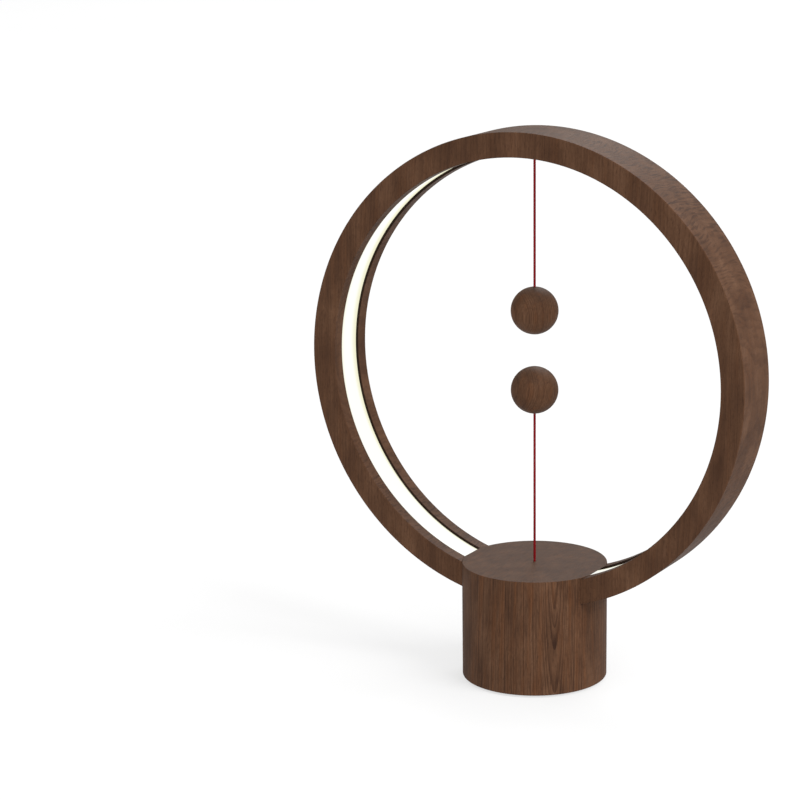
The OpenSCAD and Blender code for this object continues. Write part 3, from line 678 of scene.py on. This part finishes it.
class LAMP_OT_stage(bpy.types.Operator):
    """Builds the floor, the lights and the camera"""

    bl_idname = "lamp.stage"
    bl_label = "Studio"

    def execute(self, context):
        context.scene.view_settings.view_transform = "Standard"
        self.add_camera(context.scene)
        self.add_floor()
        self.add_world(context.scene)
        self.add_light("key", azimuth=82, elevation=48, power=640)
        self.add_light("back", azimuth=186, elevation=44, power=300)
        self.add_light("front", azimuth=20, elevation=25, power=160)
        return {"FINISHED"}

    def look_from(self, made, azimuth, elevation, middle, distance):
        """Puts an object at a distance from a middle, turned to face it. Azimuth 0 looks along +Y."""
        turn, rise = math.radians(azimuth), math.radians(elevation)
        back = Vector((math.sin(turn) * math.cos(rise), -math.cos(turn) * math.cos(rise),
                       math.sin(rise)))
        made.location = middle + distance * back
        made.rotation_euler = back.to_track_quat("Z", "Y").to_euler()
        bpy.context.scene.collection.objects.link(made)

    def add_camera(self, scene):
        """A long lens that looks at the lamp from the front right and a little above. Its shift puts the
        lamp right of the frame's middle, as in the photograph."""
        frame_pixels = 800
        focal_pixels = 2590
        axis_x, axis_y = 534.6, 397.8  # the pixel that the lens points at
        camera = bpy.data.cameras.new("camera")
        camera.lens = focal_pixels * camera.sensor_width / frame_pixels
        camera.shift_x = (frame_pixels / 2 - axis_x) / frame_pixels
        camera.shift_y = (axis_y - frame_pixels / 2) / frame_pixels
        made = bpy.data.objects.new("camera", camera)
        aim = Vector((0, 0, 140 * MM))
        self.look_from(made, azimuth=26.86, elevation=13.25, middle=aim, distance=1248.5 * MM)
        scene.camera = made

    def add_floor(self):
        """A wide table of opal acrylic, lit from below, so that it is plain white and takes only a soft
        shadow. Its tone changes a little over 400 mm."""
        half_width, cloudy, glow = 12.0, 400 * MM, 0.665
        material, tree, coordinates = empty_material("opal_table")
        mottle = cloud(tree, coordinates.outputs["Object"], (cloudy, cloudy, cloudy))
        tint = add(tree, "Mix", {FACTOR: mottle, FIRST: hue("floor"), SECOND: rgba("#8a8a8a")},
                   data_type="RGBA")
        finish_material(tree, Base_Color=tint, Roughness=0.9, Specular_IOR_Level=0.0,
                        Emission_Color=rgba("#ffffff"), Emission_Strength=glow)
        corners = half_width * np.array([[-1, -1, 0], [1, -1, 0], [-1, 1, 0], [1, 1, 0]])
        build("floor", corners, grid_faces(2, 2), material)

    def add_world(self, scene):
        """Even white surroundings."""
        strength = 0.55
        world = bpy.data.worlds.new("white_room")
        world.use_nodes = True
        world.node_tree.nodes.clear()
        walls = add(world.node_tree, "Background", [rgba("#ffffff"), strength])
        add(world.node_tree, "OutputWorld", [walls])
        scene.world = world

    def add_light(self, name, azimuth, elevation, power):
        """A large square softbox that faces the lamp, far enough away to light the floor evenly."""
        width, distance, aim = 5.0, 8.0, Vector((0, 0, 120 * MM))
        light = bpy.data.lights.new(name, "AREA")
        light.size = width
        light.energy = power
        made = bpy.data.objects.new(name, light)
        self.look_from(made, azimuth, elevation, aim, distance)


class LAMP_OT_cords(bpy.types.Operator):
    """Builds the two red cords"""

    bl_idname = "lamp.cords"
    bl_label = "Cords"

    def execute(self, context):
        balls = context.scene.lamp_balls
        material = dyed_cord()
        upper = self.cord(balls, material, "upper", high("upper_string").z, low("upper_string").z)
        lower = self.cord(balls, material, "lower", low("lower_string").z, high("lower_string").z)
        self.declare(balls, *upper, "hanging")
        self.declare(balls, *lower, "taut")
        # The lower cord gets a mesh of its own
        made, start, end = lower
        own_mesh(made)
        return {"FINISHED"}

    def cord(self, balls, material, name, start, end):
        """Twisted plies along Z. At height z and angle a the radius is the crest's, less the groove's depth
        times 1 - |cos (plies / 2 (a - turn))|, where the turn grows with z. The crest's radius and the
        groove's depth are shares of the cord's own radius."""
        plies, around, step, crest, groove_depth = 3, 24, 0.16 * MM, 1.12, 0.14
        z = np.linspace(start, end, int(abs(end - start) / step))[:, None]
        angle = np.arange(around) * 2 * math.pi / around
        groove = 1 - np.abs(np.cos(plies / 2 * (angle - 2 * math.pi * z / balls.lay)))
        r = balls.cord / 2 * (crest - groove_depth * groove)
        points = np.stack([r * np.cos(angle), r * np.sin(angle), z + 0 * angle], axis=-1)
        made = carried(name + "_twisted_cord", points, material, crease=80)
        attribute = made.data.attributes.new("groove", "FLOAT", "POINT")
        places = np.empty(3 * len(made.data.vertices))
        made.data.vertices.foreach_get("co", places)
        reach = np.hypot(*places.reshape(-1, 3).T[:2])
        attribute.data.foreach_set("value", (crest - reach / (balls.cord / 2)) / groove_depth)
        seat(made, name + "_cord", "red_cord", name + "_string")
        return made, start, end

    def declare(self, balls, made, start, end, lay, points=20):
        """Takes a cord's figures and does nothing with them."""


class LAMP_OT_ring(bpy.types.Operator):
    """Builds the wooden ring, a channel section with two lips and a ledge inside each"""

    bl_idname = "lamp.ring"
    bl_label = "Wooden ring"

    def execute(self, context):
        ring, base = context.scene.lamp_ring, context.scene.lamp_base
        side = ring.width / 2
        channel = side - ring.lip_width
        ledge = channel - ring.ledge_width
        fine = 0.2 * MM
        outline = eased(both_sides([
            (ring.radius, side, ring.edge), (ring.lip_radius, side, ring.edge),
            (ring.lip_radius, channel, fine), (ring.seat_radius, channel, 0),
            (ring.seat_radius, ledge, 0), (ring.floor_radius, ledge, 0)
        ]))
        # Sawn far from the pith, so that the growth rings run nearly straight up the ring
        pith = (-340 * MM, 30 * MM, 100 * MM)
        wood = walnut("ring_walnut", pith, lean=(0.03, 0.02), ring_gap=2.2 * MM, wander=5 * MM,
                      figure=0.16, stripe=0.22, fleck=0.8, wall=channel)
        made = carried("wooden_ring", round_ring(outline, ring_end_x(ring, base)), wood)
        floor_z = RING_Z + ring.floor_radius
        cut(made, [pin(ring.anchor, floor_z - PAST, floor_z + ring.anchor_depth)])
        seat(made, "base", "walnut", "ring_frame")
        return {"FINISHED"}


class LAMP_OT_diffuser(bpy.types.Operator):
    """Builds the milky diffuser, a flat band with a thin flange along each side"""

    bl_idname = "lamp.diffuser"
    bl_label = "Light diffuser"

    def execute(self, context):
        ring, base = context.scene.lamp_ring, context.scene.lamp_base
        side = ring.width / 2 - ring.lip_width - GAP
        face = ring.lip_radius + ring.recess
        top = face - ring.flange_height
        fine = 0.12 * MM
        outline = eased(both_sides([
            (ring.seat_radius - GAP, side, 0), (top, side, fine), (top, side - ring.flange, fine),
            (face, side - ring.flange, fine)
        ]), support=0.1 * MM)
        points = round_ring(outline, ring_end_x(ring, base))
        made = carried("milky_diffuser", points, milky_acrylic())
        cord_hole = context.scene.lamp_balls.cord / 2 + 0.45 * MM
        cut(made, [pin(cord_hole, RING_Z + ring.lip_radius, RING_Z + ring.seat_radius + PAST)])
        seat(made, "base", "milky_acrylic", "light_diffuser")
        return {"FINISHED"}


class LAMP_OT_base(bpy.types.Operator):
    """Builds the round wooden base, a cup upside down with slots for the ring's ends"""

    bl_idname = "lamp.base"
    bl_label = "Wooden base"

    def execute(self, context):
        base, balls = context.scene.lamp_base, context.scene.lamp_balls
        cavity, ceiling = base.radius - base.wall, BASE_TOP - base.top
        rebate = base.radius - base.rim + GAP
        pad_top, cover_top = high("foot_pad").z, high("bottom_cover").z
        hole = balls.cord / 2 + 2 * GAP
        fine = 0.15 * MM
        outline = eased([
            (hole, BASE_TOP, fine), (hole, ceiling, 0), (cavity, ceiling, 0),
            (cavity, cover_top, 0), (rebate, cover_top, 0), (rebate, pad_top, fine),
            (base.radius, pad_top, base.edge), (base.radius, BASE_TOP, base.edge)
        ])
        # The pith runs just under the side's surface, at the front right, and leans out towards it, so
        # that its rings show there as a pointed figure
        pith = (23.3 * MM, -25.3 * MM, BASE_TOP)
        wood = walnut("base_walnut", pith, lean=(0.045, -0.049), ring_gap=0.85 * MM,
                      wander=0.8 * MM, figure=0.5, stripe=0.62, fleck=0.5)
        made = revolved("wooden_base", outline, wood, steps=360)
        cut(made, [*self.slots(context.scene.lamp_ring, base), *self.inlet(base)])
        seat(made, "base", "walnut", "base_shell")
        return {"FINISHED"}

    def slots(self, ring, base):
        """The ring's band, a gap larger all round, at each side of the base. The first and last steps of
        the sweep reach from inside the base to well outside it."""
        steps, near_end = 960, 60
        half = ring.width / 2 + GAP
        inner, outer = ring.lip_radius - GAP, ring.radius + GAP
        band = np.array([(inner, -half), (outer, -half), (outer, half), (inner, half)])
        swept = round_ring(band, ring_end_x(ring, base) - GAP, steps)
        return [carried("cutter", swept[:near_end]), carried("cutter", swept[-near_end:])]

    def inlet(self, base):
        """The recess for the inlet's rim, and the passage for its socket from the cavity through the back
        wall."""
        z = (low("inlet_bezel").z + high("inlet_bezel").z) / 2
        round_it = 2 * (base.bezel + GAP)
        rim = stadium(base.inlet_width + round_it, base.inlet_height + round_it)
        socket = high("inlet_socket") - low("inlet_socket")
        room = 0.6 * MM
        passage = stadium(socket.x + room, socket.z + room)
        return [bar(rim, base.bezel_back, base.radius + PAST, z),
                bar(passage, base.radius / 2, base.bezel_back + PAST, z)]


class LAMP_OT_balls(bpy.types.Operator):
    """Builds the two wooden balls and the plugs that close their pockets"""

    bl_idname = "lamp.balls"
    bl_label = "Balls"

    def execute(self, context):
        balls = context.scene.lamp_balls
        for name, up, pith_x in (("upper", -1, 30 * MM), ("lower", 1, 45 * MM)):
            # The pith passes behind and beside the ball, so that growth rings cross it as wide arcs
            pith = (pith_x, 50 * MM, BALL_Z[name] + 70 * MM * up)
            wood = walnut(name + "_ball_walnut", pith, lean=(0.1, 0.14 * up), ring_gap=1.6 * MM,
                          wander=2 * MM, figure=0.3, stripe=0.55, fleck=0.2)
            flip, lift = [1, up], [0, BALL_Z[name]]
            outline = self.ball(balls) * flip + lift
            ball = revolved(name + "_wooden_ball", outline, wood, steps=144)
            seat(ball, name + "_weight", "walnut", name + "_ball")
            outline = self.plug(balls) * flip + lift
            plug = revolved(name + "_wooden_plug", outline, wood, steps=96, closed=False)
            seat(plug, name + "_weight", "walnut", name + "_ball_plug")
        return {"FINISHED"}

    def ball(self, balls, steps=110):
        """Outline (radius, z) from the ball's middle, with the gap between the balls towards +Z. It goes
        up the outside from the cord's hole to the pocket, by the sine and cosine of the angle from the
        lowest point, and back through the pocket, the chamber and the hole."""
        hole, pocket = balls.cord / 2 + GAP, balls.plug + GAP / 2
        start = math.asin(hole / balls.radius)
        end = math.pi - math.asin(pocket / balls.radius)
        angle = np.linspace(start, end, steps)
        outside = balls.radius * np.stack([np.sin(angle), -np.cos(angle)], axis=1)
        magnet = balls.radius - balls.plug_depth - balls.magnet
        shoulder = magnet - balls.chamber_depth
        inside = [(pocket, magnet), (balls.chamber, magnet), (balls.chamber, shoulder),
                  (hole, shoulder)]
        return np.concatenate([outside, inside])

    def plug(self, balls, steps=24):
        """Outline (radius, z) from the pole over the domed face, by the sine and cosine of the angle from
        the pole, then down the side and to the axis."""
        angle = np.linspace(0, math.asin(balls.plug / balls.radius), steps)
        face = balls.radius * np.stack([np.sin(angle), np.cos(angle)], axis=1)
        foot = balls.radius - balls.plug_depth
        return np.concatenate([face, [(balls.plug, foot), (0, foot)]])


class LAMP_OT_foot(bpy.types.Operator):
    """Builds the round foot pad"""

    bl_idname = "lamp.foot"
    bl_label = "Foot pad"

    def execute(self, context):
        radius, top = high("foot_pad").x, high("foot_pad").z
        edge = 0.3 * MM
        outline = eased([(0, 0, 0), (radius, 0, edge), (radius, top, edge), (0, top, 0)])
        made = revolved("foam_foot_pad", outline, grey_rubber(), closed=False)
        seat(made, "base", "grey_rubber", "foot_pad")
        return {"FINISHED"}


class LAMP_OT_carried_over(bpy.types.Operator):
    """Finishes the pieces inside the lamp, at its back and under it"""

    bl_idname = "lamp.carried_over"
    bl_label = "Inner pieces"

    def execute(self, context):
        made = {"red_cord": bpy.data.materials["dyed_cord"]}
        for part in frame["record"]["subparts"]:
            node = frame["nodes"][part["node"]]
            slot = part["material_slot"]
            if node.hide_render:
                continue
            if slot not in made:
                made[slot] = FINISHES[slot]()
            node.material_slots[0].material = made[slot]
        return {"FINISHED"}


class LAMP_PT_panel(bpy.types.Panel):
    """Lists the lamp's pieces and their settings"""

    bl_idname = "LAMP_PT_panel"
    bl_label = "Balance lamp"
    bl_space_type = "VIEW_3D"
    bl_region_type = "UI"
    bl_category = "Lamp"

    def draw(self, context):
        for operator in OPERATORS:
            self.layout.operator(operator.bl_idname)
        for group, kind in GROUPS.items():
            box = self.layout.box()
            for name in kind.__annotations__:
                box.prop(getattr(context.scene, group), name)


OPERATORS = [LAMP_OT_stage, LAMP_OT_cords, LAMP_OT_ring, LAMP_OT_diffuser, LAMP_OT_base,
             LAMP_OT_balls, LAMP_OT_foot, LAMP_OT_carried_over]
CLASSES = [*GROUPS.values(), *OPERATORS, LAMP_PT_panel]


def register():
    """Registers the classes and puts the settings on the scene."""
    for kind in CLASSES:
        bpy.utils.register_class(kind)
    for group, kind in GROUPS.items():
        setattr(bpy.types.Scene, group, bpy.props.PointerProperty(type=kind))


def unregister():
    """Takes the settings off the scene and unregisters the classes."""
    for group in GROUPS:
        delattr(bpy.types.Scene, group)
    for kind in reversed(CLASSES):
        bpy.utils.unregister_class(kind)


def main():
    """Builds the studio and the lamp."""
    register()
    bpy.ops.lamp.stage()
    bpy.ops.lamp.cords()
    bpy.ops.lamp.ring()
    bpy.ops.lamp.diffuser()
    bpy.ops.lamp.base()
    bpy.ops.lamp.balls()
    bpy.ops.lamp.foot()
    bpy.ops.lamp.carried_over()
    bpy.context.view_layer.update()


if __name__ == "__main__":
    main()
